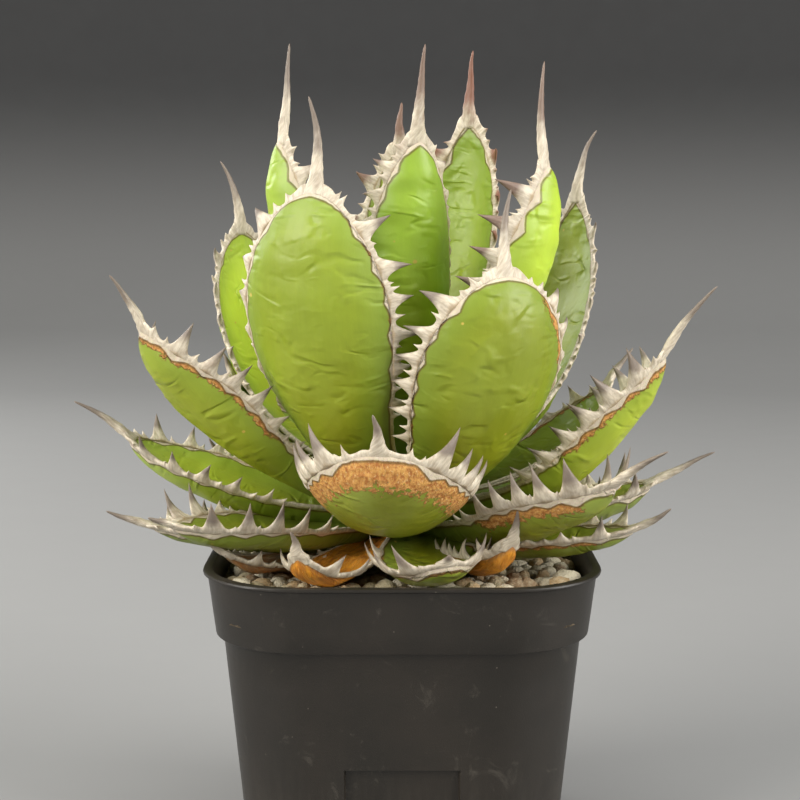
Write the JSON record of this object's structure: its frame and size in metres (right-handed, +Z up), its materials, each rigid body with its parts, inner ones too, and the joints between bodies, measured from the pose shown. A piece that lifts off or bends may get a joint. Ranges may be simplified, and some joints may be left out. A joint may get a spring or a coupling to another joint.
{
  "type": "potted agave horrida",
  "caption": "Potted rosette succulent: cupped fleshy green leaves edged with grey horny teeth and end spines, on a short stem in gravel in a tapered square pot.",
  "frame": {"origin": "centre of the pot's underside", "axes": "+Z up, -Y towards the front of the picture, +X to its right"},
  "size_m": [0.1905, 0.1613, 0.2376],
  "materials": {
    "leaf": "waxy green skin with faint imprints of neighbouring leaves",
    "horn": "dry grey-white horn, browner towards the tips",
    "dried_leaf": "withered orange-brown skin with grey horn",
    "stem": "fibrous",
    "gravel": "loose pumice and baked clay grains",
    "pot": "satin black, dusty"
  },
  "bodies": {
    "root": {"dried_leaf_28": "dried_leaf", "dried_leaf_29": "dried_leaf", "dried_leaf_30": "dried_leaf", "horn_01": "horn", "horn_02": "horn", "horn_03": "horn", "horn_04": "horn", "horn_05": "horn", "horn_06": "horn", "horn_07": "horn", "horn_08": "horn", "horn_09": "horn", "horn_10": "horn", "horn_11": "horn", "horn_12": "horn", "horn_13": "horn", "horn_14": "horn", "horn_15": "horn", "horn_16": "horn", "horn_17": "horn", "horn_18": "horn", "horn_19": "horn", "horn_20": "horn", "horn_21": "horn", "horn_22": "horn", "horn_23": "horn", "horn_24": "horn", "horn_25": "horn", "horn_26": "horn", "horn_27": "horn", "leaf_01": "leaf", "leaf_02": "leaf", "leaf_03": "leaf", "leaf_04": "leaf", "leaf_05": "leaf", "leaf_06": "leaf", "leaf_07": "leaf", "leaf_08": "leaf", "leaf_09": "leaf", "leaf_10": "leaf", "leaf_11": "leaf", "leaf_12": "leaf", "leaf_13": "leaf", "leaf_14": "leaf", "leaf_15": "leaf", "leaf_16": "leaf", "leaf_17": "leaf", "leaf_18": "leaf", "leaf_19": "leaf", "leaf_20": "leaf", "leaf_21": "leaf", "leaf_22": "leaf", "leaf_23": "leaf", "leaf_24": "leaf", "leaf_25": "leaf", "leaf_26": "leaf", "leaf_27": "leaf", "pot": "pot", "soil": "gravel", "stem": "stem"}
  },
  "joints": []
}
